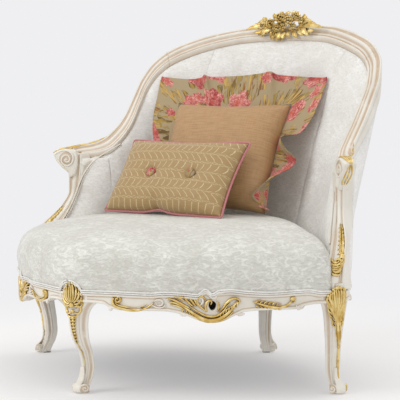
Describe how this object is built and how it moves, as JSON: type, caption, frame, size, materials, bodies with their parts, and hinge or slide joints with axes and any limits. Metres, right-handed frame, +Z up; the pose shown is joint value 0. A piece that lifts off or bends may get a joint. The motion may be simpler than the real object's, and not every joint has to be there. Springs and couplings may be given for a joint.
{
  "type": "corner armchair",
  "caption": "Carved, gilded armchair with a bowed diamond-plan sprung seat, wrap-round padded back, cabriole scroll legs and loose cushions.",
  "frame": {"origin": "on the floor, at the middle of the box round the whole chair", "axes": "+X to the right arm seen from behind the chair, +Y from the front corner leg to the crest, +Z up"},
  "size_m": [1.1674, 1.0273, 1.0562],
  "materials": {
    "painted_wood": "antiqued off-white paint with gilded carving",
    "gilded_wood": "carved and gilded",
    "bare_wood": "bare beech",
    "upholstery_velvet": "off-white mottled velvet",
    "webbing": "jute webbing",
    "canvas": "coarse hessian",
    "stuffing": "felted hair and wadding",
    "dust_cloth": "black cambric",
    "tan_silk": "slubbed tan silk",
    "floral_cloth": "taupe cloth with a rose pattern",
    "stitched_cloth": "brown cloth with cream slanted stitching",
    "piping_cloth": "dusty pink piping",
    "button_cloth": "coral patterned cover",
    "steel": "plain",
    "tack_metal": "blued",
    "glide_metal": "plain"
  },
  "bodies": {
    "root": {"back_centre_post": "bare_wood", "back_corner_block": "bare_wood", "back_left_rail": "painted_wood", "back_leg": "painted_wood", "back_right_rail": "painted_wood", "back_webbing": "webbing", "corner_screws": "steel", "crest_spray": "gilded_wood", "dust_cover": "dust_cloth", "dust_cover_tacks": "tack_metal", "foot_glides": "glide_metal", "front_corner_block": "bare_wood", "front_left_rail": "painted_wood", "front_leg": "painted_wood", "front_right_rail": "painted_wood", "left_arm_rail": "painted_wood", "left_arm_stump": "painted_wood", "left_arm_tack_bar": "bare_wood", "left_back_tack_bar": "bare_wood", "left_corner_block": "bare_wood", "left_crest_rail": "painted_wood", "left_inside_panel": "upholstery_velvet", "left_leg": "painted_wood", "left_outside_cover": "upholstery_velvet", "left_shoulder_post": "bare_wood", "lumbar_buttons": "button_cloth", "lumbar_cushion": "stitched_cloth", "lumbar_piping": "piping_cloth", "middle_inside_panel": "upholstery_velvet", "middle_outside_cover": "upholstery_velvet", "rail_dowels": "bare_wood", "right_arm_rail": "painted_wood", "right_arm_stump": "painted_wood", "right_arm_tack_bar": "bare_wood", "right_back_tack_bar": "bare_wood", "right_corner_block": "bare_wood", "right_crest_rail": "painted_wood", "right_inside_panel": "upholstery_velvet", "right_leg": "painted_wood", "right_outside_cover": "upholstery_velvet", "right_shoulder_post": "bare_wood", "seat_cover": "upholstery_velvet", "seat_springs": "steel", "seat_stuffing": "stuffing", "seat_webbing": "webbing", "spring_canvas": "canvas", "square_cushion": "tan_silk", "square_cushion_flange": "floral_cloth"}
  },
  "joints": []
}
